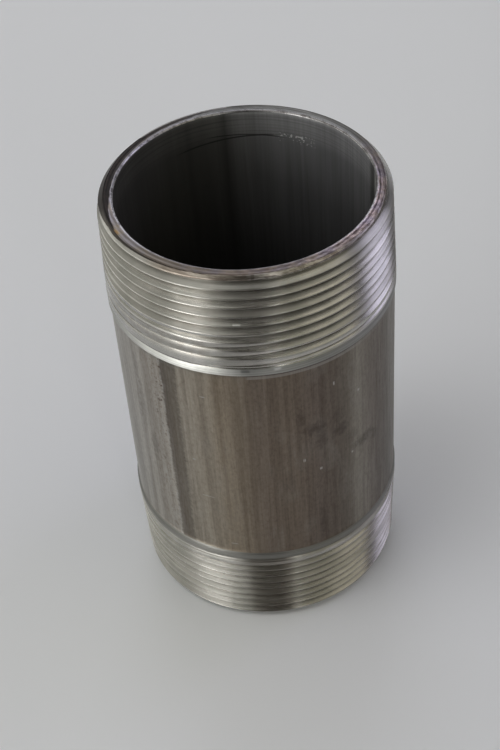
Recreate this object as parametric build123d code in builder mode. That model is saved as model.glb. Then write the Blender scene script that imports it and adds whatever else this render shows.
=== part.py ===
from build123d import *
from math import degrees, radians, tan
import os

# Pipe nipple: one length of welded stainless pipe with an American taper pipe thread on each end.
# The whole object is a single piece of metal. The origin is the centre of the lower end face and +Z
# runs up the axis. Millimetres.

os.makedirs("parts", exist_ok=True)

# ---- Driving dimensions: 2 inch schedule 40S pipe, 4 inch nipple ----
inch = 25.4
pipe_od = 2.375 * inch
pipe_wall = 0.154 * inch
nipple_length = 4 * inch

# ---- Thread: 11.5 turns per inch, 60 degree V, taper of 1 in 16 on diameter ----
pitch = inch / 11.5
radial_taper = 1 / 32
half_thread_angle = 30
crest_flat = 0.13
root_flat = 0.10
crest_r_at_face = 29.73

# ---- Ends ----
face_outer_r = 28.30
deburr = 0.30
runout_depth = 21.50
land_start_depth = 22.70
land_end_depth = 24.30
land_r = 30.38
land_edge = 0.10

# ---- How far each threaded half is turned about the axis ----
lower_turn = 251
upper_turn = 304.8

# ---- Worked out ----
pipe_r = pipe_od / 2
bore_r = pipe_r - pipe_wall
half_length = nipple_length / 2
flank_slope = tan(radians(half_thread_angle))
thread_depth = (pitch - crest_flat - root_flat) / 2 / flank_slope


def crest_r(depth):
    """Radius of the thread's crests at a depth behind the end face."""
    return crest_r_at_face + depth * radial_taper


# The end chamfer rises at 45 degrees from the face to the crest cone.
chamfer_depth = (crest_r_at_face - face_outer_r) / (1 - radial_taper)

# Outline of the lower half, from the bore at mid-length, round the end, to the barrel, as (radius, height).
half_outline = [
    (bore_r, half_length),
    (bore_r, deburr),
    (bore_r + deburr, 0),
    (face_outer_r, 0),
    (crest_r(chamfer_depth), chamfer_depth),
    (crest_r(runout_depth), runout_depth),
    (land_r, land_start_depth),
    (land_r, land_end_depth),
    (land_r - land_edge, land_end_depth + land_edge),
    (pipe_r, land_end_depth + 2 * land_edge),
    (pipe_r, half_length),
]

# ---- Helical groove ----
# The groove starts clear of the face and ends in a run-out ring. Its flanks stop just outside the
# crest cone, so that neighbouring turns of the cutter never touch.
groove_start = -1.6
cutter_clear = 0.04
groove_turn = 25
helix_r = crest_r(groove_start) - thread_depth
cutter_height = thread_depth + cutter_clear
cutter_root_half = root_flat / 2
cutter_mouth_half = cutter_root_half + cutter_height * flank_slope

with BuildPart() as groove:
    with BuildLine() as groove_path:
        Helix(
            pitch=pitch,
            height=runout_depth - groove_start,
            radius=helix_r,
            center=(0, 0, groove_start),
            cone_angle=degrees(radial_taper),
        )
    with BuildSketch(Plane(origin=(helix_r, 0, groove_start), x_dir=(1, 0, 0), z_dir=(0, 1, 0))):
        Polygon(
            (0, -cutter_root_half),
            (cutter_height, -cutter_mouth_half),
            (cutter_height, cutter_mouth_half),
            (0, cutter_root_half),
            align=None,
        )
    sweep(path=groove_path.wires()[0], is_frenet=True)

# ---- Run-out ring: a V a little deeper and wider than the groove that runs into it ----
ring_extra = 0.06
ring_above_crest = 1.0
ring_root_r = crest_r(runout_depth) - thread_depth - ring_extra
ring_height = thread_depth + ring_extra + ring_above_crest
ring_root_half = cutter_root_half + ring_extra / 2
ring_mouth_half = ring_root_half + ring_height * flank_slope

with BuildPart() as threaded_half:
    with BuildSketch(Plane.XZ):
        with BuildLine():
            Polyline(*half_outline, close=True)
        make_face()
    revolve(axis=Axis.Z)
    with BuildSketch(Plane.XZ):
        with BuildLine():
            Polyline(
                (ring_root_r, runout_depth - ring_root_half),
                (ring_root_r + ring_height, runout_depth - ring_mouth_half),
                (ring_root_r + ring_height, runout_depth + ring_mouth_half),
                (ring_root_r, runout_depth + ring_root_half),
                close=True,
            )
        make_face()
    revolve(axis=Axis.Z, mode=Mode.SUBTRACT)
    with Locations(Location((0, 0, 0), (0, 0, groove_turn))):
        add(groove.part, mode=Mode.SUBTRACT)

# ---- The nipple: the upper half is the lower one turned over, so both threads are right-handed ----
with BuildPart() as pipe_nipple:
    with Locations(Location((0, 0, 0), (0, 0, lower_turn))):
        add(threaded_half.part)
    with Locations(Location((0, 0, nipple_length), (180, 0, upper_turn))):
        add(threaded_half.part)

pipe_nipple.part.label = "pipe_nipple"
export_step(pipe_nipple.part, "parts/pipe_nipple.step")

print("bore radius", round(bore_r, 3), "thread depth", round(thread_depth, 3))
print("half", round(threaded_half.part.volume, 1), "whole", round(pipe_nipple.part.volume, 1))
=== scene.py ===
"""Looks of the threaded pipe nipple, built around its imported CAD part.

One piece, nipple_body, stands for the CAD node: the same tube and threads as one fine mesh, with a
material for each kind of surface. Geometry is worked out in millimetres from the CAD box, then scaled.
"""
import math

import bpy
import numpy as np
from mathutils import Matrix, Vector


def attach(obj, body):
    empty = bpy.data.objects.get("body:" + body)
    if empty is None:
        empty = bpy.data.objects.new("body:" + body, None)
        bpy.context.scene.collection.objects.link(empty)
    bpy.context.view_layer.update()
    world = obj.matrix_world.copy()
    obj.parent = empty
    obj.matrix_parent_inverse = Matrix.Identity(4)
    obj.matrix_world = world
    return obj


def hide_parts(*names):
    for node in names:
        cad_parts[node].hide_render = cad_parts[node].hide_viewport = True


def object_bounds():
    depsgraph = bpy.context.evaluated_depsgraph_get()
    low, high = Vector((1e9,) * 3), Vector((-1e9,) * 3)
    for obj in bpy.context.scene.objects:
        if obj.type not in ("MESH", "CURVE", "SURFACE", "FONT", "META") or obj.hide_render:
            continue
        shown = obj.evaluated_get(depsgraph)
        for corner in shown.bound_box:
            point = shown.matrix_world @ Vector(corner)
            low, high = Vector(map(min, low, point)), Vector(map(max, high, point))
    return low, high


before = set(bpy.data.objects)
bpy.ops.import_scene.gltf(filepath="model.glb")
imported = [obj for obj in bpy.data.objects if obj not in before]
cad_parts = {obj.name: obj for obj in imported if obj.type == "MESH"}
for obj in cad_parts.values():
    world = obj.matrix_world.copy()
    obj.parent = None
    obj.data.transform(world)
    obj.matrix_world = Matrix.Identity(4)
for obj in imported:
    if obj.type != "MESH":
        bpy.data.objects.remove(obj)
cad_low, cad_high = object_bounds()

MM = 0.001
TAU = 2 * math.pi

# ---- Sizes, millimetres ----
LENGTH = (cad_high.z - cad_low.z) / MM
WIDEST_R = (cad_high.x - cad_low.x) / 2 / MM - 0.005
PITCH = 25.4 / 11.5
TAPER = 1 / 32
CREST_R_AT_FACE = 29.73
CREST_HALF = 0.065
ROOT_HALF = 0.05
FLANK_SLOPE = math.tan(math.radians(30))
THREAD_DEPTH = (PITCH / 2 - CREST_HALF - ROOT_HALF) / FLANK_SLOPE
FACE_OUTER_R = 28.30
BORE_R = 26.25
DEBURR = 0.30
BARREL_R = 30.04
OFF_CENTRE = 0.07
OFF_CENTRE_ANGLE = -50
GROOVE_START = -1.6
THREAD_END = 21.75
LAND_START = 22.1
LAND_END = 23.9
BARREL_START = 24.15
LOWER_SHORTER = 0.9

COLUMNS = 240
# Groove value for the fine line between the last turn and the land, as for a thread root.
DARK_LINE = 0.9

# ---- Surfaces, each with its own material slot ----
THREAD, LAND, BARREL, FACE, EDGE, BORE = range(6)


def smooth(x, low, high):
    """0 below low, 1 above high, eased in between."""
    t = np.clip((x - low) / (high - low), 0, 1)
    return t * t * (3 - 2 * t)


def bump_at(angle, centre, half, soft):
    """1 within half degrees of centre, fading to 0 over soft degrees. Angles in radians."""
    away = np.abs((np.degrees(angle) - centre + 180) % 360 - 180)
    return 1 - smooth(away, half, half + soft)


def ripple(angle, seed, waves):
    """A sum of a few fixed waves round the tube, between about -1 and 1, that joins up with itself."""
    rng = np.random.default_rng(seed)
    out = np.zeros_like(angle)
    for n in waves:
        out += rng.normal() * np.cos(n * angle + rng.uniform(0, TAU))
    return out / math.sqrt(len(waves))


class MeshData:
    """Points in millimetres and faces with material numbers, gathered strip by strip."""

    def __init__(self):
        self.points = []
        self.groove = []
        self.faces = []
        self.slots = []
        self.count = 0

    def add_grid(self, points, groove, slots, closed, flip):
        """points is columns x rows x 3. A face joins each column to the next, and each row to the next."""
        columns, rows = points.shape[:2]
        index = self.count + np.arange(columns * rows).reshape(columns, rows)
        following = np.roll(index, -1, axis=0) if closed else index[1:]
        here = index if closed else index[:-1]
        quads = np.stack([here[:, :-1], following[:, :-1], following[:, 1:], here[:, 1:]], -1)
        if flip:
            quads = quads[..., ::-1]
        self.points.append(points.reshape(-1, 3))
        self.groove.append(np.broadcast_to(groove, (columns, rows)).reshape(-1))
        self.faces.append(quads.reshape(-1, 4))
        self.slots.append(np.broadcast_to(slots, quads.shape[:2]).reshape(-1))
        self.count += columns * rows

    def merged(self):
        """Points, groove values, faces and slots, with equal points joined and empty faces dropped."""
        points = np.concatenate(self.points)
        groove = np.concatenate(self.groove)
        quads = np.concatenate(self.faces)
        slots = np.concatenate(self.slots)
        keys = np.round(points, 4)
        _, first, back = np.unique(keys, axis=0, return_index=True, return_inverse=True)
        quads = back.reshape(-1)[quads]
        faces, kept = [], []
        for quad, slot in zip(quads.tolist(), slots.tolist()):
            corners = [c for i, c in enumerate(quad) if c != quad[i - 1]]
            if len(corners) >= 3 and len(set(corners)) == len(corners):
                faces.append(corners)
                kept.append(slot)
        return points[first], groove[first], faces, kept


def column_angles():
    return np.arange(COLUMNS) * TAU / COLUMNS


def crest_r(depth):
    return np.minimum(CREST_R_AT_FACE + np.maximum(depth, 0) * TAPER, WIDEST_R)


def barrel_r(angle):
    """The mill surface: a little off centre to the threads, with faint lengthwise flats."""
    lean = OFF_CENTRE * np.cos(angle - math.radians(OFF_CENTRE_ANGLE))
    return BARREL_R + lean + 0.012 * ripple(angle, 3, (5, 8, 13, 21, 34, 47))


def retreat(depth, angle, missed):
    """How far the cutter has backed out. missed is how much metal it leaves on the tube's low side."""
    out = 0.35 * smooth(depth, 16.0, 20.5) + 1.364 * smooth(depth, 20.3, THREAD_END)
    deep = smooth(depth, 13.0, 16.5) * (1 - 0.8 * smooth(depth, 18.8, 20.4))
    low_side = bump_at(angle, -140, 18, 50) * deep
    return np.clip(out + missed * low_side, 0, THREAD_DEPTH)


def thread_ribbon(phase, turn, missed, shorter):
    """One end's thread from the face to its run-out: a ribbon one pitch wide, wound round the tube.

    phase is the angle in degrees where the groove's centre is at GROOVE_START, and turn is +1 or -1,
    the way the angle goes as the depth grows. Returns angle, depth, radius and groove value.
    """
    thread_end = THREAD_END - shorter
    step = 360 / COLUMNS
    first = math.ceil((phase * turn) / step) - COLUMNS
    total = int((thread_end - GROOVE_START + 2 * PITCH) / PITCH * COLUMNS)
    number = first + np.arange(total)
    angle = np.radians(number * step * turn)[:, None]
    centre = (GROOVE_START + PITCH * (number * step - phase * turn) / 360)[:, None]
    rough = 0.002 * ripple(angle + 0.37 * centre, 11, (7, 13, 23, 37))
    backed = retreat(np.clip(centre, 0, thread_end) + shorter, angle, missed)
    cut = THREAD_DEPTH - backed
    mouth = ROOT_HALF + cut * FLANK_SLOPE
    half = PITCH / 2
    flank = mouth - ROOT_HALF
    weight = cut / THREAD_DEPTH
    inner = [
        (ROOT_HALF + 0 * cut, cut),
        (mouth - 0.72 * flank, 0.72 * cut),
        (mouth - 0.45 * flank, 0.45 * cut),
        (mouth - 0.22 * flank, 0.22 * cut),
        (mouth - 0.082 * weight, 0.142 * weight),
        (mouth - 0.044 * weight, 0.097 * weight),
        (mouth + 0.007 * weight, 0.067 * weight),
        (half + 0 * cut, 0.057 * weight),
    ]
    offsets = [-s for s, _ in reversed(inner)] + [s for s, _ in inner]
    depths = [c for _, c in reversed(inner)] + [c for _, c in inner]
    offset = np.concatenate(offsets, axis=1)
    down = np.concatenate(depths, axis=1)
    depth = centre + offset
    radius = crest_r(depth) - down + rough * (1 - down / THREAD_DEPTH) ** 2
    # The end chamfer cuts across the first turns.
    chamfer = FACE_OUTER_R + depth
    above = radius - chamfer
    for row in range(offset.shape[1] - 1):
        a, b = above[:, row], above[:, row + 1]
        crossing = (a > 0) & (b <= 0) | (a <= 0) & (b > 0)
        share = np.where(crossing, a / np.where(a == b, 1, a - b), 0)
        move_first = crossing & (a > 0)
        target = row + np.where(move_first, 0, 1)
        rows = np.arange(len(a))
        new_depth = depth[:, row] + share * (depth[:, row + 1] - depth[:, row])
        new_radius = radius[:, row] + share * (radius[:, row + 1] - radius[:, row])
        pick = rows[crossing]
        inside = (new_depth > 0)[pick]
        pick = pick[inside]
        depth[pick, target[pick]] = new_depth[pick]
        radius[pick, target[pick]] = new_radius[pick]
    radius = np.minimum(radius, FACE_OUTER_R + depth)
    before = depth <= 0
    after = depth >= thread_end
    depth = np.clip(depth, 0, thread_end)
    radius = np.where(before, FACE_OUTER_R, radius)
    radius = np.where(after, crest_r(thread_end), radius)
    radius = np.minimum(radius, WIDEST_R)
    return np.broadcast_to(angle, depth.shape), depth, radius, down / THREAD_DEPTH


def to_points(angle, radius, height):
    return np.stack([radius * np.cos(angle), radius * np.sin(angle), height + 0 * radius], -1)


def end_rings(angle):
    """Rings of one end: (radius, depth, slot of the strip that follows), from the bore to the chamfer."""
    scuff = 0.012 * ripple(angle, 21, (4, 9, 14, 33))
    return [
        (BORE_R + 0 * angle, 1.2 + 0 * angle, BORE),
        (BORE_R + 0 * angle, DEBURR + 0.05 + scuff, EDGE),
        (BORE_R + 0.5 * DEBURR, 0.5 * DEBURR + scuff, EDGE),
        (BORE_R + DEBURR + 0.06 + scuff, 0.06 + 0 * angle, EDGE),
        (BORE_R + DEBURR + 0.20 + scuff, 0.01 + 0 * angle, FACE),
        (BORE_R + 0.85 + scuff, 0.03 + 0 * angle, FACE),
        (BORE_R + 1.02 + scuff, 0.11 + 0 * angle, FACE),
        (BORE_R + 1.22 + 2 * scuff, 0.12 + 0 * angle, FACE),
        (BORE_R + 1.40 + scuff, 0.04 + 0 * angle, FACE),
        (FACE_OUTER_R - 0.34 + 0 * angle, 0.02 + 0 * angle, FACE),
        (FACE_OUTER_R - 0.22 + scuff, 0.05 + 0 * angle, FACE),
        (FACE_OUTER_R - 0.14 + scuff, 0.12 + 0 * angle, FACE),
        (FACE_OUTER_R - 0.05 + 0 * angle, 0.05 + 0 * angle, FACE),
        (FACE_OUTER_R + 0 * angle, 0 * angle, FACE),
    ]


def land_rings(angle, shorter):
    """Rings from the thread's end over the land to the barrel. shorter brings the land nearer the face."""
    barrel = barrel_r(angle)
    land = WIDEST_R - 0.01
    line = 0.12 + 0.20 * bump_at(angle, -60, 32, 30)
    thread_end, land_start, land_end = (d - shorter for d in (THREAD_END, LAND_START, LAND_END))
    return [
        (crest_r(thread_end) + 0 * angle, thread_end + 0 * angle, THREAD),
        (land - line, thread_end + 0.14 + 0 * angle, THREAD),
        (land - line, thread_end + 0.26 + 0 * angle, THREAD),
        (land - 0.12 + 0 * angle, land_start + 0.06 + 0 * angle, LAND),
        (land - 0.05 + 0 * angle, land_start + 0.35 + 0 * angle, LAND),
        (land - 0.012 + 0 * angle, land_start + 0.75 + 0 * angle, LAND),
        (land + 0 * angle, land_start + 1.1 + 0 * angle, LAND),
        (land + 0 * angle, land_end - 0.12 + 0 * angle, LAND),
        (land - 0.05 + 0 * angle, land_end + 0 * angle, LAND),
        (barrel, BARREL_START - shorter + 0 * angle, BARREL),
    ]


def build_mesh():
    data = MeshData()
    angle = column_angles()
    ends = {
        "upper": dict(phase=390.2, turn=-1, missed=1.6, shorter=0.0),
        "lower": dict(phase=-84.0, turn=1, missed=0.0, shorter=LOWER_SHORTER),
    }
    for name, how in ends.items():
        up = name == "upper"

        def height(depth):
            return LENGTH - depth if up else depth

        ribbon_angle, depth, radius, groove = thread_ribbon(**how)
        data.add_grid(
            to_points(ribbon_angle, radius, height(depth)), groove, THREAD,
            closed=False, flip=False,
        )
        for rings in (end_rings(angle), land_rings(angle, how["shorter"])):
            points = np.stack([to_points(angle, r, height(d)) for r, d, _ in rings], 1)
            slots = np.array([s for _, _, s in rings[:-1]])[None, :]
            relief = (1, 2) if rings[0][2] == THREAD else ()
            dark = np.array([DARK_LINE if i in relief else 0.0 for i in range(len(rings))])
            data.add_grid(points, dark[None, :], slots, closed=True, flip=up)
    rows = np.linspace(BARREL_START - LOWER_SHORTER, LENGTH - BARREL_START, 40)
    barrel = np.stack([to_points(angle, barrel_r(angle), h) for h in rows], 1)
    data.add_grid(barrel, 0.0, BARREL, closed=True, flip=False)
    rows = np.linspace(1.2, LENGTH - 1.2, 30)
    bore = np.stack([to_points(angle, BORE_R + 0 * angle, h) for h in rows], 1)
    data.add_grid(bore, 0.0, BORE, closed=True, flip=True)
    return data.merged()


def make_body(materials):
    points, groove, faces, slots = build_mesh()
    mesh = bpy.data.meshes.new("nipple_body")
    mesh.from_pydata((points * MM).tolist(), [], faces)
    mesh.polygons.foreach_set("material_index", slots)
    mesh.polygons.foreach_set("use_smooth", [True] * len(faces))
    attribute = mesh.attributes.new("groove", "FLOAT", "POINT")
    attribute.data.foreach_set("value", groove.astype(np.float32))
    for material in materials:
        mesh.materials.append(material)
    mesh.validate()
    mesh.update()
    body = bpy.data.objects.new("nipple_body", mesh)
    bpy.context.scene.collection.objects.link(body)
    bpy.context.view_layer.update()
    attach(body, "root")
    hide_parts("pipe_nipple")
    return body


# ---- Materials ----
class Graph:
    """A node tree with short calls for the nodes that the surfaces share."""

    def __init__(self, tree):
        self.tree = tree
        tree.nodes.clear()

    def node(self, kind, inputs=None, **settings):
        n = self.tree.nodes.new(kind)
        for key, value in settings.items():
            setattr(n, key, value)
        for key, value in (inputs or {}).items():
            self.put(n.inputs[key], value)
        return n

    def put(self, socket, value):
        if isinstance(value, bpy.types.NodeSocket):
            self.tree.links.new(value, socket)
        else:
            socket.default_value = value

    def math(self, operation, a, b=0.0, clamp=False):
        n = self.node("ShaderNodeMath", {0: a, 1: b}, operation=operation, use_clamp=clamp)
        return n.outputs[0]

    def ease(self, value, low, high, to_low=0.0, to_high=1.0):
        """value mapped from low..high to to_low..to_high with eased ends."""
        n = self.node(
            "ShaderNodeMapRange",
            {"Value": value, "From Min": low, "From Max": high, "To Min": to_low, "To Max": to_high},
            interpolation_type="SMOOTHSTEP",
        )
        return n.outputs["Result"]

    def mix(self, share, a, b, blend="MIX"):
        n = self.node("ShaderNodeMix", data_type="RGBA", blend_type=blend, clamp_factor=True)
        self.put(n.inputs["Factor"], share)
        self.put(n.inputs[6], a)
        self.put(n.inputs[7], b)
        return n.outputs[2]

    def tinted(self, share, colour, factor):
        """colour, multiplied by factor where share is 1."""
        return self.mix(share, colour, self.mix(1.0, colour, factor, "MULTIPLY"))

    def combine(self, x, y, z):
        return self.node("ShaderNodeCombineXYZ", {"X": x, "Y": y, "Z": z}).outputs[0]

    def noise(self, vector, scale, detail=3.0, roughness=0.55, distortion=0.0):
        n = self.node(
            "ShaderNodeTexNoise",
            {"Vector": vector, "Scale": scale, "Detail": detail, "Roughness": roughness,
             "Distortion": distortion},
        )
        return n.outputs["Fac"]

    def ramp(self, value, stops):
        n = self.node("ShaderNodeValToRGB", {"Fac": value})
        ramp = n.color_ramp
        while len(ramp.elements) > 1:
            ramp.elements.remove(ramp.elements[-1])
        ramp.elements[0].position, ramp.elements[0].color = stops[0][0], (*stops[0][1], 1)
        for position, colour in stops[1:]:
            ramp.elements.new(position).color = (*colour, 1)
        return n.outputs["Color"]

    def bump(self, height, distance, strength=1.0, normal=None):
        n = self.node("ShaderNodeBump", {"Height": height, "Distance": distance, "Strength": strength})
        if normal is not None:
            self.put(n.inputs["Normal"], normal)
        return n.outputs[0]


class Surface(Graph):
    """A metal material with cylinder coordinates in millimetres."""

    def __init__(self, name):
        self.material = bpy.data.materials.new(name)
        self.material.use_nodes = True
        super().__init__(self.material.node_tree)
        place = self.node("ShaderNodeTexCoord").outputs["Object"]
        scaled = self.node("ShaderNodeVectorMath", {0: place, "Scale": 1 / MM}, operation="SCALE")
        self.place = scaled.outputs[0]
        parts = self.node("ShaderNodeSeparateXYZ", {0: self.place})
        self.x, self.y, self.z = parts.outputs
        xx = self.math("MULTIPLY", self.x, self.x)
        yy = self.math("MULTIPLY", self.y, self.y)
        self.radius = self.math("SQRT", self.math("ADD", xx, yy))

    def stretched(self, round_scale, along_scale):
        """Coordinates for marks that run along the tube or round it."""
        x = self.math("MULTIPLY", self.x, round_scale)
        y = self.math("MULTIPLY", self.y, round_scale)
        return self.combine(x, y, self.math("MULTIPLY", self.z, along_scale))

    def turned(self, across, along):
        """Coordinates for lathe marks: quick across the radius and height, slow round the tube."""
        slow = self.math("MULTIPLY", self.math("ADD", self.x, self.y), along)
        quick_r = self.math("MULTIPLY", self.radius, across)
        return self.combine(quick_r, self.math("MULTIPLY", self.z, across), slow)

    def arc_from(self, degrees):
        """Distance round the tube from an angle, in degrees, -180 to 180."""
        c, s = math.cos(math.radians(degrees)), math.sin(math.radians(degrees))
        along = self.math("ADD", self.math("MULTIPLY", self.x, c), self.math("MULTIPLY", self.y, s))
        across = self.math("SUBTRACT", self.math("MULTIPLY", self.y, c), self.math("MULTIPLY", self.x, s))
        return self.math("MULTIPLY", self.math("ARCTAN2", across, along), 180 / math.pi)

    def round_ramp(self, stops, shift=0.0):
        """A number or colour by angle round the tube, from stops that run on 360 degrees from the first."""
        start = stops[0][0]
        angle = self.math("ADD", self.arc_from(start + 180), shift)
        place = self.math("DIVIDE", self.math("ADD", angle, 180), 360)
        colours = [v if isinstance(v, tuple) else (v, v, v) for _, v in stops]
        return self.ramp(place, [((a - start) / 360, v) for (a, _), v in zip(stops, colours)])

    def patch(self, angles, heights, soft_angle, soft_height):
        """1 inside a range of angles and a range of heights, fading at the edges."""
        across = self.window(self.arc_from(0), *angles, soft_angle)
        return self.math("MULTIPLY", across, self.window(self.z, *heights, soft_height))

    def window(self, value, low, high, soft):
        """1 between low and high, fading over soft on each side."""
        rise = self.ease(value, low - soft / 2, low + soft / 2)
        fall = self.ease(value, high - soft / 2, high + soft / 2, 1.0, 0.0)
        return self.math("MULTIPLY", rise, fall)

    def metal(self, colour, roughness, normal, anisotropic, rotation, metallic=1.0):
        shader = self.node(
            "ShaderNodeBsdfPrincipled",
            {"Base Color": colour, "Metallic": metallic, "Roughness": roughness,
             "Anisotropic": anisotropic, "Anisotropic Rotation": rotation},
        )
        self.put(shader.inputs["Normal"], normal)
        tangent = self.node("ShaderNodeTangent", direction_type="RADIAL", axis="Z")
        self.put(shader.inputs["Tangent"], tangent.outputs[0])
        self.node("ShaderNodeOutputMaterial", {"Surface": shader.outputs[0]})
        return self.material


ROUND_MARKS = 0.25
LENGTHWISE_MARKS = 0.0


# How far the face's heat stain runs out over the end chamfer, by angle in degrees, as a share of
# STAIN_FULL millimetres.
STAIN_FULL = 1.6
STAIN_REACH = [
    (0, 0.0),
    (88, 0.0),
    (110, 0.4),
    (140, 0.8),
    (162, 0.95),
    (176, 0.82),
    (184, 0.62),
    (192, 0.44),
    (200, 0.33),
    (208, 0.27),
    (216, 0.23),
    (226, 0.18),
    (236, 0.13),
    (244, 0.08),
    (252, 0.03),
    (256, 0.0),
    (360, 0.0),
]


# Places on the upper thread, each as a range of angles and a range of heights: the skin that the last
# turns missed, and a bright nick in one crest.
SKIN_LEFT = ((-160, -106), (81.6, 85.9))
THREAD_NICK = ((-98.3, -95.4), (90.44, 90.64))


def thread_material():
    s = Surface("cut_thread")
    marks = s.noise(s.turned(6.0, 0.03), 1.0, 4.0, 0.6)
    coarse = s.noise(s.turned(1.1, 0.02), 1.0, 2.0)
    blotch = s.noise(s.place, 0.16, 4.0, 0.6)
    groove = s.node("ShaderNodeAttribute", attribute_name="groove").outputs["Fac"]
    clean = s.mix(s.ease(blotch, 0.35, 0.7), (0.50, 0.49, 0.46, 1), (0.62, 0.60, 0.57, 1))
    toned = s.mix(s.ease(marks, 0.35, 0.75, 0.0, 0.35), clean, (0.30, 0.285, 0.26, 1))
    angle = s.arc_from(0)
    # Grime darkens the roots, less so over the front, where painted shade dims the crests' highlight.
    front_roots_lighter = s.window(angle, -113, -89, 8)
    root = s.ease(groove, 0.32, 0.95, 0.0, 0.74)
    root = s.math("MULTIPLY", root, s.math("SUBTRACT", 1.0, s.math("MULTIPLY", front_roots_lighter, 0.55)))
    colour = s.mix(root, toned, (0.11, 0.10, 0.085, 1))
    # Painted shade: the crests are darkened over the front.
    crest_painted_shade = s.math("MULTIPLY", s.ease(groove, 0.05, 0.2, 1.0, 0.0), s.window(angle, -105, -88, 6))
    colour = s.tinted(crest_painted_shade, colour, (0.74, 0.73, 0.72, 1))
    # Painted shade: the lower end is darkened over the front and right, more so in a band at the front.
    low_end = s.ease(s.z, 40, 50, 1.0, 0.0)
    weight = s.math("MULTIPLY", low_end, s.window(angle, -89, 0, 8))
    colour = s.tinted(weight, colour, (0.78, 0.77, 0.76, 1))
    # Painted shade: a darker band at the front of the lower end.
    low_front_shade = s.math("MULTIPLY", low_end, s.window(angle, -101, -82, 5))
    colour = s.tinted(low_front_shade, colour, (0.74, 0.72, 0.70, 1))
    # The face's heat stain runs over the end chamfer at the back and left.
    up_chamfer = s.math("SUBTRACT", s.math("ADD", s.radius, s.z), LENGTH + FACE_OUTER_R)
    chamfer = s.ease(up_chamfer, -0.10, -0.03)
    mottle = s.noise(s.turned(1.6, 0.45), 1.0, 4.0, 0.65)
    reach = s.math("MULTIPLY", s.round_ramp(STAIN_REACH), STAIN_FULL)
    ragged = s.math("MULTIPLY", s.math("SUBTRACT", mottle, 0.5), 0.5)
    within = s.math("ADD", s.math("SUBTRACT", reach, s.math("SUBTRACT", s.radius, FACE_OUTER_R)), ragged)
    stained = s.math("MULTIPLY", s.ease(within, -0.03, 0.10), chamfer)
    colour = s.mix(s.math("MULTIPLY", stained, 0.94), colour, (0.05, 0.041, 0.036, 1))
    # Over the front the chamfer is torn and browned instead of bright.
    torn = s.math("MULTIPLY", chamfer, s.window(angle, -131, -12, 14))
    torn_tone = s.mix(s.ease(mottle, 0.38, 0.62), (1.08, 1.04, 1.03, 1), (0.55, 0.50, 0.48, 1))
    colour = s.tinted(torn, colour, torn_tone)
    brown = s.math("MULTIPLY", chamfer, s.window(angle, -130, -92, 12))
    colour = s.tinted(s.math("MULTIPLY", brown, 0.7), colour, (0.90, 0.83, 0.76, 1))
    dull = s.math("MULTIPLY", chamfer, s.window(angle, -64, -12, 16))
    colour = s.tinted(s.math("MULTIPLY", dull, 0.8), colour, (0.66, 0.64, 0.68, 1))
    tick = s.math("MULTIPLY", chamfer, s.window(angle, -90.2, -89.0, 0.6))
    colour = s.mix(s.math("MULTIPLY", tick, 0.4), colour, (0.07, 0.06, 0.055, 1))
    burr_line = s.window(s.radius, 29.45, 29.78, 0.1)
    burrs = s.math("MULTIPLY", s.math("MULTIPLY", burr_line, chamfer), s.window(angle, -124, -40, 10))
    burrs = s.math("MULTIPLY", burrs, s.ease(s.noise(s.place, 0.75, 2.0, 0.5), 0.58, 0.66))
    colour = s.mix(burrs, colour, (0.95, 0.93, 0.90, 1))
    # The last turns miss the low side of the tube, which keeps its skin.
    skin = s.patch(*SKIN_LEFT, 16, 0.8)
    blot = s.noise(s.place, 0.7, 4.0, 0.65)
    skin_tone = s.mix(s.ease(blot, 0.4, 0.62), (0.43, 0.415, 0.385, 1), (0.35, 0.325, 0.29, 1))
    colour = s.mix(s.math("MULTIPLY", skin, 0.7), colour, skin_tone)
    colour = s.mix(s.patch(*THREAD_NICK, 0.6, 0.12), colour, (0.95, 0.95, 0.93, 1))
    roughness = s.ease(coarse, 0.3, 0.7, 0.22, 0.36)
    normal = s.bump(marks, 0.012 * MM, 0.5)
    return s.metal(colour, roughness, normal, 0.75, ROUND_MARKS)


# The land's brightness round the tube: raised over the left of the front as a painted highlight, duller
# elsewhere.
LAND_TONES = [
    (-180, 0.38),
    (-156, 0.42),
    (-145, 0.58),
    (-135, 0.86),
    (-125, 0.92),
    (-115, 1.0),
    (-105, 1.0),
    (-100, 0.76),
    (-95, 0.46),
    (-85, 0.52),
    (-75, 0.43),
    (-65, 0.37),
    (-20, 0.35),
    (60, 0.40),
    (180, 0.38),
]


# Painted shade for a dent, and a bright ding, on the upper land; each as a range of angles and of heights.
LAND_DENT_SHADE = ((-96.6, -93.4), (78.55, 79.25))
LAND_DING = ((-84.2, -81.8), (78.6, 79.2))


def land_material():
    s = Surface("turned_land")
    marks = s.noise(s.turned(9.0, 0.02), 1.0, 4.0, 0.6)
    coarse = s.noise(s.turned(2.4, 0.02), 1.0, 2.0, 0.5)
    blotch = s.noise(s.place, 0.2, 4.0, 0.6)
    # Painted highlight: the land's tone is raised over the left of the front.
    tone = s.round_ramp([(a, (v, v, 0.965 * v)) for a, v in LAND_TONES])
    tone = s.mix(s.ease(s.z, 40, 60, 0.9, 0.0), tone, (0.24, 0.235, 0.22, 1))
    clean = s.mix(s.ease(blotch, 0.35, 0.7, 0.0, 0.25), tone, (0.30, 0.295, 0.28, 1))
    colour = s.tinted(s.ease(marks, 0.4, 0.8, 0.0, 0.4), clean, (0.5, 0.49, 0.47, 1))
    colour = s.tinted(s.ease(coarse, 0.5, 0.7, 0.0, 0.5), colour, (0.6, 0.59, 0.57, 1))
    # Painted shade in the dent.
    colour = s.mix(s.math("MULTIPLY", s.patch(*LAND_DENT_SHADE, 1.2, 0.3), 0.5), colour, (0.08, 0.08, 0.08, 1))
    colour = s.mix(s.math("MULTIPLY", s.patch(*LAND_DING, 1.6, 0.4), 0.6), colour, (0.95, 0.95, 0.95, 1))
    roughness = s.ease(marks, 0.3, 0.7, 0.42, 0.52)
    normal = s.bump(marks, 0.012 * MM, 0.5)
    return s.metal(colour, roughness, normal, 0.8, ROUND_MARKS)
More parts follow.
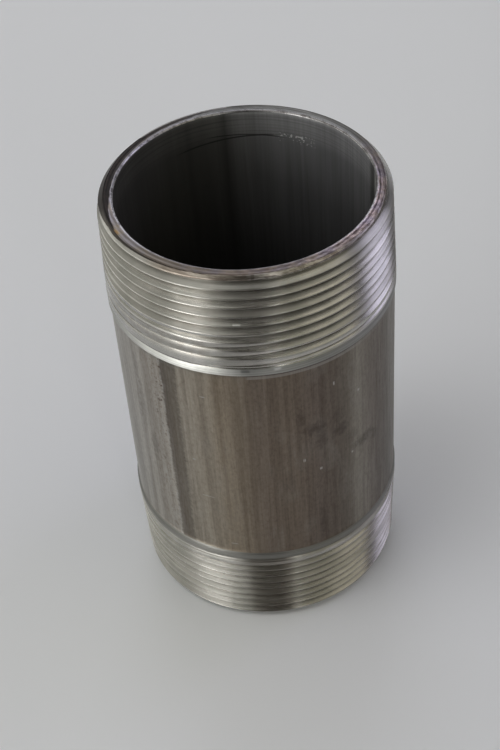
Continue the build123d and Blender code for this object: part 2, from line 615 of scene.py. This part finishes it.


# The mill surface's tone round the tube: angle in degrees, then colour. The dark band near -128 is
# the weld seam's heat-affected strip; the rest are scale and pickling stains drawn out lengthwise, with
# painted reflection mixed in: the front's darker middle and the lighter left follow what the barrel
# mirrors.
BARREL_TONES = [
    (-180, (0.41, 0.405, 0.385)),
    (-150, (0.42, 0.40, 0.37)),
    (-132.3, (0.44, 0.41, 0.37)),
    (-130.4, (0.165, 0.145, 0.125)),
    (-127.5, (0.21, 0.185, 0.155)),
    (-124.3, (0.17, 0.15, 0.125)),
    (-123.6, (0.38, 0.345, 0.295)),
    (-112, (0.35, 0.31, 0.255)),
    (-107, (0.29, 0.245, 0.19)),
    (-99, (0.25, 0.21, 0.165)),
    (-92, (0.20, 0.165, 0.135)),
    (-80, (0.19, 0.155, 0.125)),
    (-68, (0.145, 0.118, 0.10)),
    (-60, (0.15, 0.125, 0.105)),
    (-48, (0.24, 0.22, 0.19)),
    (-41, (0.235, 0.21, 0.185)),
    (-36, (0.185, 0.16, 0.14)),
    (-20, (0.20, 0.185, 0.165)),
    (10, (0.27, 0.25, 0.22)),
    (40, (0.20, 0.17, 0.14)),
    (75, (0.26, 0.23, 0.19)),
    (110, (0.18, 0.15, 0.125)),
    (150, (0.30, 0.28, 0.25)),
    (180, (0.36, 0.355, 0.335)),
]

# Grubby handling marks on the barrel: angle, height, half width in degrees, half height in mm, strength.
BARREL_SMUDGES = [
    (-75.0, 63.5, 1.6, 1.6, 0.43),
    (-69.5, 59.5, 4.0, 1.3, 0.57),
    (-66.5, 55.3, 2.0, 2.0, 0.53),
    (-57.8, 56.0, 2.8, 1.3, 0.57),
    (-59.5, 60.0, 1.4, 1.6, 0.34),
    (-45.5, 48.5, 5.0, 1.2, 0.53),
    (-38.0, 47.0, 1.8, 1.3, 0.43),
    (-52.0, 52.0, 2.2, 1.4, 0.28),
    (-67.5, 29.5, 0.9, 4.5, 0.53),
    (-82.0, 45.0, 2.2, 2.2, 0.19),
    (-146.0, 60.0, 2.5, 5.0, 0.28),
    (-141.0, 49.0, 1.8, 3.0, 0.28),
    (-147.0, 70.0, 1.2, 3.0, 0.28),
]

# Light nicks and scratches on the barrel: angle, height, half length in degrees, half width in mm.
BARREL_SCRATCHES = [
    (-115.5, 40.3, 4.0, 0.16),
    (-113.0, 70.5, 1.6, 0.22),
    (-106.0, 26.0, 1.8, 0.25),
    (-120.0, 51.0, 0.9, 0.35),
    (-74.5, 51.0, 0.7, 0.6),
    (-67.5, 47.0, 0.8, 0.5),
    (-60.5, 70.0, 0.5, 0.7),
    (-48.0, 64.0, 0.8, 0.5),
    (-52.0, 47.0, 0.6, 0.4),
]


# Depths of the strip of barrel that the die brushed past the upper land.
BRUSHED_START = 24.42
BRUSHED_END = 25.15


def barrel_material():
    s = Surface("mill_barrel")
    fine = s.noise(s.stretched(3.2, 0.12), 1.0, 3.0, 0.6)
    streak = s.noise(s.stretched(0.55, 0.012), 1.0, 2.0, 0.5)
    cloud = s.noise(s.stretched(0.16, 0.07), 1.0, 4.0, 0.6)
    ragged = s.noise(s.stretched(0.5, 0.9), 1.0, 3.0, 0.7)
    angle = s.arc_from(0)
    jitter = s.math("MULTIPLY", s.math("SUBTRACT", ragged, 0.5), 3.0)
    # The tone round the tube carries painted reflection over the front and the left.
    tone = s.round_ramp(BARREL_TONES, jitter)
    dark = s.mix(1.0, tone, (0.84, 0.82, 0.80, 1), "MULTIPLY")
    light = s.mix(1.0, tone, (1.13, 1.13, 1.12, 1), "MULTIPLY")
    tone = s.mix(s.ease(streak, 0.36, 0.66), dark, light)
    tone = s.tinted(s.ease(fine, 0.42, 0.75, 0.0, 0.30), tone, (0.6, 0.58, 0.55, 1))
    tone = s.mix(s.ease(cloud, 0.5, 0.72, 0.0, 0.18), tone, (0.33, 0.315, 0.29, 1))
    grain = s.noise(s.stretched(1.6, 0.9), 1.0, 5.0, 0.7)
    tone = s.tinted(s.ease(grain, 0.5, 0.66, 0.0, 0.6), tone, (0.76, 0.73, 0.71, 1))
    tone = s.tinted(s.ease(grain, 0.5, 0.36, 0.0, 0.6), tone, (1.17, 1.17, 1.17, 1))
    blots = s.noise(s.place, 0.9, 4.0, 0.65)
    for at, height, half, tall, strength in BARREL_SMUDGES:
        across = s.math("DIVIDE", s.math("ABSOLUTE", s.arc_from(at)), half)
        up = s.math("DIVIDE", s.math("ABSOLUTE", s.math("SUBTRACT", s.z, height)), tall)
        away = s.math("ADD", s.math("MULTIPLY", across, across), s.math("MULTIPLY", up, up))
        edge = s.math("ADD", away, s.math("MULTIPLY", s.math("SUBTRACT", blots, 0.5), 7.0))
        tone = s.mix(s.ease(edge, -0.8, 3.0, strength, 0.0), tone, (0.06, 0.047, 0.04, 1))
    # Past the land the die just brushed the barrel over part of the front.
    brushed = s.window(s.z, LENGTH - BRUSHED_END, LENGTH - BRUSHED_START, 0.12)
    brushed_round = s.math("MULTIPLY", s.ease(angle, -95.6, -94.0), s.ease(angle, -55, -30, 1.0, 0.0))
    brushed = s.math("MULTIPLY", brushed, brushed_round)
    tone = s.mix(s.math("MULTIPLY", brushed, 0.55), tone, (0.33, 0.31, 0.285, 1))
    # Painted shade: a dark line just under the land, over the front and right, below the step to the
    # barrel.
    above_brushed = s.ease(s.z, LENGTH - BRUSHED_START, LENGTH - BRUSHED_START + 0.1)
    shaded = s.math("MULTIPLY", above_brushed, s.window(angle, -96, -30, 6))
    tone = s.mix(s.math("MULTIPLY", shaded, 0.6), tone, (0.08, 0.072, 0.065, 1))
    # Along the left of the weld: light patches where the skin flaked, a light ridge and scale spots.
    long_blots = s.noise(s.stretched(0.8, 0.16), 1.0, 4.0, 0.6)
    flakes = s.math("MULTIPLY", s.window(angle, -138, -130.8, 3), s.ease(long_blots, 0.5, 0.7))
    tone = s.mix(s.math("MULTIPLY", flakes, 0.45), tone, (0.54, 0.53, 0.50, 1))
    ridge_angle = s.math("ADD", angle, s.math("MULTIPLY", jitter, 0.5))
    ridge = s.math("MULTIPLY", s.window(ridge_angle, -132.3, -131.1, 0.7), s.ease(long_blots, 0.40, 0.56))
    tone = s.mix(s.math("MULTIPLY", ridge, 0.4), tone, (0.60, 0.59, 0.56, 1))
    scale_spots = s.math("MULTIPLY", s.window(angle, -136.5, -130.4, 2), s.ease(blots, 0.55, 0.66))
    scale_spots = s.math("MULTIPLY", scale_spots, s.ease(s.z, 50, 66, 0.35, 0.85))
    tone = s.mix(scale_spots, tone, (0.13, 0.085, 0.065, 1))
    specked = s.math("MULTIPLY", s.window(angle, -141, -131, 4), s.ease(blots, 0.44, 0.34))
    tone = s.mix(s.math("MULTIPLY", specked, 0.4), tone, (0.22, 0.15, 0.11, 1))
    for at, height, half, thick in BARREL_SCRATCHES:
        across = s.ease(s.math("ABSOLUTE", s.arc_from(at)), half * 0.4, half, 1.0, 0.0)
        up = s.ease(s.math("ABSOLUTE", s.math("SUBTRACT", s.z, height)), thick * 0.3, thick, 1.0, 0.0)
        mark = s.math("MULTIPLY", s.math("MULTIPLY", across, up), s.ease(fine, 0.3, 0.55, 0.25, 0.7))
        tone = s.mix(mark, tone, (0.50, 0.485, 0.46, 1))
    roughness = s.ease(fine, 0.3, 0.7, 0.38, 0.5)
    height = s.math("ADD", s.math("MULTIPLY", fine, 0.3), s.math("MULTIPLY", ragged, 0.7))
    normal = s.bump(height, 0.02 * MM, 0.5)
    return s.metal(tone, roughness, normal, 0.5, LENGTHWISE_MARKS)


# The faced end round the tube: the inner part's colour, by angle in degrees.
FACE_TONES = [
    (0, (0.33, 0.31, 0.32)),
    (30, (0.205, 0.208, 0.195)),
    (60, (0.25, 0.25, 0.235)),
    (90, (0.172, 0.172, 0.16)),
    (120, (0.26, 0.255, 0.25)),
    (150, (0.30, 0.29, 0.285)),
    (183, (0.36, 0.35, 0.36)),
    (205, (0.34, 0.325, 0.30)),
    (220, (0.26, 0.25, 0.235)),
    (240, (0.20, 0.19, 0.18)),
    (270, (0.215, 0.195, 0.182)),
    (290, (0.24, 0.22, 0.21)),
    (310, (0.38, 0.355, 0.36)),
    (330, (0.46, 0.42, 0.45)),
    (345, (0.42, 0.385, 0.405)),
    (360, (0.33, 0.31, 0.32)),
]

# Where the burnt outer band of the faced end begins, by angle in degrees, as a share of BURNT_SPAN
# outwards from BURNT_INNER_R. It is broad over the left of the back and runs out towards the front.
BURNT_INNER_R = 26.5
BURNT_SPAN = 2.0
BURNT_FROM = [
    (0, 0.35),
    (40, 0.40),
    (70, 0.85),
    (95, 0.80),
    (112, 0.38),
    (135, 0.24),
    (150, 0.16),
    (180, 0.16),
    (192, 0.50),
    (200, 0.68),
    (208, 0.86),
    (216, 0.95),
    (275, 1.0),
    (340, 1.0),
    (350, 0.5),
    (360, 0.35),
]

# How strong the burnt band is, by angle in degrees.
BURNT_SHARE = [
    (0, 0.20),
    (40, 0.35),
    (85, 0.45),
    (118, 0.85),
    (150, 1.0),
    (195, 1.0),
    (222, 0.85),
    (245, 0.55),
    (275, 0.35),
    (340, 0.1),
    (360, 0.20),
]


# The angle of a yellow-brown painted glint at the face's outer edge.
GLINT_SPOT = -154.5


def face_material():
    s = Surface("faced_end")
    marks = s.noise(s.turned(5.0, 0.02), 1.0, 4.0, 0.6)
    tint = s.noise(s.place, 0.35, 3.0, 0.6)
    mottle = s.noise(s.turned(1.3, 0.40), 1.0, 4.0, 0.65)
    tone = s.round_ramp(FACE_TONES)
    warm = s.mix(1.0, tone, (1.05, 0.95, 0.84, 1), "MULTIPLY")
    cool = s.mix(1.0, tone, (1.0, 0.96, 1.03, 1), "MULTIPLY")
    heat_tint = s.mix(s.ease(tint, 0.38, 0.62), cool, warm)
    colour = s.mix(s.window(s.arc_from(75), -50, 55, 30), heat_tint, tone)
    rough_side = s.window(s.arc_from(-30), -50, 45, 40)
    dark_share = s.math("ADD", s.math("MULTIPLY", rough_side, 0.45), 0.45)
    light_share = s.math("ADD", s.math("MULTIPLY", rough_side, 0.6), 0.3)
    dark = s.math("MULTIPLY", s.ease(mottle, 0.47, 0.60), dark_share)
    light = s.math("MULTIPLY", s.ease(mottle, 0.47, 0.36), light_share)
    colour = s.tinted(dark, colour, (0.46, 0.41, 0.40, 1))
    colour = s.tinted(light, colour, (1.8, 1.72, 1.8, 1))
    colour = s.tinted(s.ease(marks, 0.45, 0.75, 0.0, 0.45), colour, (0.5, 0.47, 0.46, 1))
    # Round the right the inner rim is bright and the middle duller.
    right = s.window(s.arc_from(-22), -38, 40, 22)
    inner = s.math("MULTIPLY", right, s.ease(s.radius, 26.8, 27.1, 1.0, 0.0))
    colour = s.tinted(inner, colour, (1.55, 1.5, 1.57, 1))
    middle = s.math("MULTIPLY", right, s.window(s.radius, 27.05, 27.75, 0.2))
    colour = s.tinted(middle, colour, (0.74, 0.71, 0.73, 1))
    share = s.round_ramp(BURNT_SHARE)
    start = s.math("ADD", s.math("MULTIPLY", s.round_ramp(BURNT_FROM), BURNT_SPAN), BURNT_INNER_R)
    ragged = s.math("MULTIPLY", s.math("SUBTRACT", mottle, 0.5), 0.5)
    out = s.math("ADD", s.math("SUBTRACT", s.radius, start), ragged)
    burnt = s.math("MULTIPLY", s.ease(out, -0.10, 0.12), share)
    rust = s.mix(s.ease(mottle, 0.35, 0.6), (0.048, 0.036, 0.030, 1), (0.026, 0.023, 0.022, 1))
    colour = s.mix(burnt, colour, rust)
    # Painted glint: a yellow-brown spot at the face's outer edge.
    spot = s.window(s.arc_from(GLINT_SPOT), -1.6, 1.6, 2.0)
    spot = s.math("MULTIPLY", spot, s.window(s.radius, 27.7, FACE_OUTER_R, 0.3))
    colour = s.mix(s.math("MULTIPLY", spot, 0.75), colour, (0.42, 0.26, 0.11, 1))
    roughness = s.ease(marks, 0.3, 0.7, 0.26, 0.42)
    height = s.math("ADD", s.math("MULTIPLY", marks, 0.6), s.math("MULTIPLY", mottle, 0.6))
    normal = s.bump(height, 0.03 * MM, 0.7)
    return s.metal(colour, roughness, normal, 0.6, ROUND_MARKS)


# How bright the deburred edge is round the tube, by angle in degrees, as a share of its clean tone.
EDGE_TONES = [
    (0, 0.45),
    (30, 0.70),
    (60, 0.58),
    (90, 0.45),
    (120, 0.65),
    (150, 0.80),
    (172, 1.0),
    (212, 1.0),
    (235, 0.62),
    (270, 0.45),
    (300, 0.75),
    (330, 0.95),
    (360, 0.45),
]


def edge_material():
    s = Surface("deburred_edge")
    marks = s.noise(s.turned(9.0, 0.05), 1.0, 3.0, 0.6)
    broken = s.noise(s.place, 0.9, 3.0, 0.6)
    clean = s.mix(s.ease(marks, 0.35, 0.7), (0.80, 0.78, 0.80, 1), (0.56, 0.54, 0.55, 1))
    clean = s.mix(1.0, clean, s.round_ramp(EDGE_TONES), "MULTIPLY")
    colour = s.mix(s.ease(broken, 0.46, 0.62, 0.0, 0.7), clean, (0.13, 0.115, 0.115, 1))
    roughness = s.ease(marks, 0.3, 0.7, 0.22, 0.36)
    normal = s.bump(marks, 0.01 * MM, 0.5)
    return s.metal(colour, roughness, normal, 0.5, ROUND_MARKS)


# The bore's tone round the tube, seen from inside: painted light on the wall from about -20 to 80 degrees,
# where light falls into the bore, darker elsewhere, with dark stripes. Angle in degrees, then colour.
BORE_TONES = [
    (-180, (0.065, 0.064, 0.063)),
    (-120, (0.08, 0.08, 0.08)),
    (-60, (0.16, 0.16, 0.16)),
    (-20, (0.32, 0.32, 0.32)),
    (1, (0.30, 0.30, 0.30)),
    (4, (0.06, 0.06, 0.06)),
    (9, (0.07, 0.07, 0.07)),
    (13, (0.222, 0.222, 0.235)),
    (40, (0.244, 0.244, 0.258)),
    (62, (0.252, 0.252, 0.264)),
    (80, (0.212, 0.212, 0.220)),
    (93, (0.15, 0.149, 0.152)),
    (97, (0.06, 0.059, 0.058)),
    (101, (0.105, 0.104, 0.101)),
    (112, (0.09, 0.089, 0.086)),
    (115, (0.06, 0.059, 0.058)),
    (118, (0.085, 0.084, 0.081)),
    (150, (0.075, 0.074, 0.072)),
    (180, (0.065, 0.064, 0.063)),
]


# Dark lines where the reamer stopped: height at 90 degrees, slope in mm a degree, angle range, half width.
REAMER_MARKS = [
    (95.1, -0.030, 74, 119, 0.28),
    (95.6, 0.022, 70, 104, 0.18),
]
# Bright specks near the reamer marks, as a range of angles and a range of heights.
BORE_SPECKS = ((54, 72), (94.3, 96.3))


def bore_material():
    s = Surface("pipe_bore")
    fine = s.noise(s.stretched(1.6, 0.03), 1.0, 2.0, 0.5)
    broad = s.noise(s.stretched(0.22, 0.015), 1.0, 2.0)
    rings = s.noise(s.turned(2.2, 0.02), 1.0, 3.0, 0.6)
    angle = s.arc_from(0)
    # Painted light: the bore's wall is lighter round the right and back, where light falls in.
    tone = s.round_ramp(BORE_TONES)
    tone = s.tinted(s.ease(broad, 0.35, 0.65, 0.0, 0.45), tone, (0.6, 0.6, 0.6, 1))
    colour = s.mix(s.ease(fine, 0.35, 0.7, 0.0, 0.25), tone, (0.08, 0.078, 0.076, 1))
    # The reamed mouth is a little brighter, down to the marks where the reamer stopped.
    mouth = s.ease(s.z, 94.0, 97.5)
    colour = s.tinted(s.math("MULTIPLY", mouth, s.ease(rings, 0.3, 0.6)), colour, (1.45, 1.45, 1.44, 1))
    # Painted shade: darker further down the bore.
    colour = s.mix(s.ease(s.z, 54.0, 95.0, 0.8, 0.0), colour, (0.03, 0.029, 0.028, 1))
    for height, slope, low, high, thick in REAMER_MARKS:
        line = s.math("ADD", height, s.math("MULTIPLY", s.math("SUBTRACT", angle, 90), slope))
        away = s.math("ABSOLUTE", s.math("SUBTRACT", s.z, line))
        mark = s.math("MULTIPLY", s.ease(away, thick * 0.3, thick, 1.0, 0.0), s.window(angle, low, high, 9))
        colour = s.mix(s.math("MULTIPLY", mark, 0.85), colour, (0.02, 0.02, 0.02, 1))
    specks = s.noise(s.place, 1.6, 2.0, 0.5)
    bright = s.math("MULTIPLY", s.patch(*BORE_SPECKS, 5, 0.8), s.ease(specks, 0.58, 0.64))
    colour = s.mix(bright, colour, (0.75, 0.75, 0.76, 1))
    roughness = s.ease(fine, 0.3, 0.7, 0.5, 0.6)
    normal = s.bump(fine, 0.012 * MM, 0.5)
    return s.metal(colour, roughness, normal, 0.2, LENGTHWISE_MARKS, metallic=0.4)


# ---- Floor, light and camera ----
FLOOR_R = 0.30
FAR_FLOOR_R = 6.0


def floor_material():
    material = bpy.data.materials.new("pale_table")
    material.use_nodes = True
    g = Graph(material.node_tree)
    shader = g.node(
        "ShaderNodeBsdfPrincipled",
        {"Base Color": (0.785, 0.797, 0.825, 1), "Roughness": 0.32, "Specular IOR Level": 0.35},
    )
    g.node("ShaderNodeOutputMaterial", {"Surface": shader.outputs[0]})
    return material


def make_floor():
    """The table the nipple stands on, and the same surface further off, which the metal doesn't mirror."""
    material = floor_material()
    sides = 96
    around = [TAU * i / sides for i in range(sides)]
    near = [(FLOOR_R * math.cos(a), FLOOR_R * math.sin(a), 0) for a in around]
    far = [(FAR_FLOOR_R * math.cos(a), FAR_FLOOR_R * math.sin(a), 0) for a in around]
    ring = [(i, (i + 1) % sides, sides + (i + 1) % sides, sides + i) for i in range(sides)]
    for name, points, faces in (
        ("floor", near, [tuple(range(sides))]),
        ("floor_far", near + far, ring),
    ):
        mesh = bpy.data.meshes.new(name)
        mesh.from_pydata(points, [], faces)
        mesh.materials.append(material)
        floor = bpy.data.objects.new(name, mesh)
        floor.location = (0, 0, cad_low.z - 0.00002)
        floor.visible_glossy = name == "floor"
        bpy.context.scene.collection.objects.link(floor)


# What surrounds the object, as patches of the sky: azimuth range and elevation range in degrees,
# softness of the edges, lean (degrees of azimuth for each degree of elevation from 50) and the light's
# colour. A later patch covers the ones before it.
ROOM = (0.32, 0.32, 0.315)
PATCHES = [
    ((0, 360), (70, 90), 12, 0.0, (0.55, 0.55, 0.54)),
    ((50, 112), (4, 75), 12, 0.0, (0.85, 0.86, 0.92)),
    ((112, 244), (12, 80), 10, 0.0, (0.42, 0.42, 0.382)),
    ((138, 244), (-40, 10), 8, 0.0, (1.45, 1.45, 1.37)),
    ((-76, -34), (3, 80), 5, 0.0, (0.39, 0.38, 0.305)),
    ((-36, 25), (3, 76), 5, 0.0, (0.66, 0.635, 0.53)),
    ((-112, -73), (-30, 82), 5, 0.0, (0.07, 0.066, 0.057)),
    ((-78, -64), (62, 82), 4, 0.0, (0.11, 0.105, 0.09)),
    ((-76, -72), (0, 62), 2, 0.0, (2.4, 2.4, 2.3)),
    ((23, 66), (-4, 66), 3, 1.2, (1.02, 1.00, 1.25)),
    ((38, 66), (26, 44), 4, 1.2, (1.30, 1.28, 1.62)),
    ((23, 66), (-4, 25), 6, 1.2, (0.62, 0.60, 0.66)),
    ((7, 23), (-30, 72), 3, 1.2, (0.12, 0.115, 0.12)),
    ((39, 75), (14, 60), 4, 0.0, (0.10, 0.10, 0.11)),
    ((-76, 60), (-40, 3), 4, 0.0, (0.06, 0.058, 0.047)),
    ((-168, -141), (42, 80), 6, 0.0, (1.1, 1.1, 1.05)),
    ((-150, -127), (-16, 22), 4, 0.0, (4.0, 4.0, 3.87)),
]


def make_world():
    world = bpy.data.worlds.new("room")
    bpy.context.scene.world = world
    world.use_nodes = True
    g = Graph(world.node_tree)
    way = g.node("ShaderNodeTexCoord").outputs["Generated"]
    x, y, z = g.node("ShaderNodeSeparateXYZ", {0: way}).outputs
    turn = 180 / math.pi
    elevation = g.math("MULTIPLY", g.math("ARCSINE", z), turn)
    colour = (*ROOM, 1)
    for (az_from, az_to), (el_from, el_to), soft, lean, light in PATCHES:
        middle = math.radians((az_from + az_to) / 2)
        half_az, half_el = (az_to - az_from) / 2, (el_to - el_from) / 2
        c, s = math.cos(middle), math.sin(middle)
        ahead = g.math("ADD", g.math("MULTIPLY", x, c), g.math("MULTIPLY", y, s))
        side = g.math("SUBTRACT", g.math("MULTIPLY", y, c), g.math("MULTIPLY", x, s))
        off_az = g.math("MULTIPLY", g.math("ARCTAN2", side, ahead), turn)
        if lean:
            leaning = g.math("MULTIPLY", g.math("SUBTRACT", elevation, 50), lean)
            off_az = g.math("SUBTRACT", off_az, leaning)
        off_az = g.math("ABSOLUTE", off_az)
        off_el = g.math("ABSOLUTE", g.math("SUBTRACT", elevation, (el_from + el_to) / 2))
        in_az = g.ease(off_az, half_az - soft / 2, half_az + soft / 2, 1.0, 0.0)
        in_el = g.ease(off_el, half_el - soft / 2, half_el + soft / 2, 1.0, 0.0)
        colour = g.mix(g.math("MULTIPLY", in_az, in_el), colour, (*light, 1))
    seen = g.node("ShaderNodeLightPath").outputs["Is Camera Ray"]
    colour = g.mix(seen, colour, (0.52, 0.53, 0.54, 1))
    background = g.node("ShaderNodeBackground", {"Color": colour, "Strength": 1.0})
    g.node("ShaderNodeOutputWorld", {"Surface": background.outputs[0]})


KEY_AZIMUTH = -168
KEY_ELEVATION = 64
KEY_DISTANCE = 1.3


def make_key_light():
    light = bpy.data.lights.new("soft_key", "AREA")
    light.shape = "RECTANGLE"
    light.size, light.size_y = 0.42, 0.8
    light.energy = 2.3
    light.color = (1.0, 0.99, 0.97)
    key = bpy.data.objects.new("soft_key", light)
    az, el = math.radians(KEY_AZIMUTH), math.radians(KEY_ELEVATION)
    way = Vector((math.cos(az) * math.cos(el), math.sin(az) * math.cos(el), math.sin(el)))
    key.location = way * KEY_DISTANCE
    key.rotation_euler = (-way).to_track_quat("-Z", "Y").to_euler()
    key.visible_camera = False
    key.visible_glossy = False
    bpy.context.scene.collection.objects.link(key)


# The camera stands in front and looks down, turned a little anticlockwise about its own axis.
CAMERA_BACK = 235.97
CAMERA_HEIGHT = 273.36
LOOK_DOWN = 43.524
LOOK_SIDE = -0.495
ROLL = -4.916
LENS = 69.77


def make_camera():
    data = bpy.data.cameras.new("camera")
    data.sensor_width = 36
    data.lens = LENS
    data.clip_start, data.clip_end = 0.01, 20
    camera = bpy.data.objects.new("camera", data)
    down, side, roll = (math.radians(a) for a in (LOOK_DOWN, LOOK_SIDE, ROLL))
    ahead = Vector((math.sin(side) * math.cos(down), math.cos(side) * math.cos(down), -math.sin(down)))
    level_right = ahead.cross(Vector((0, 0, 1))).normalized()
    level_up = level_right.cross(ahead)
    right = math.cos(roll) * level_right + math.sin(roll) * level_up
    up = -math.sin(roll) * level_right + math.cos(roll) * level_up
    turn = Matrix((right, up, -ahead)).transposed()
    place = Vector((0, -CAMERA_BACK, CAMERA_HEIGHT)) * MM
    camera.matrix_world = Matrix.Translation(place) @ turn.to_4x4()
    bpy.context.scene.collection.objects.link(camera)
    bpy.context.scene.camera = camera


make_body([
    thread_material(), land_material(), barrel_material(), face_material(), edge_material(),
    bore_material(),
])
make_floor()
make_world()
make_key_light()
make_camera()
bpy.context.scene.view_settings.view_transform = "Standard"
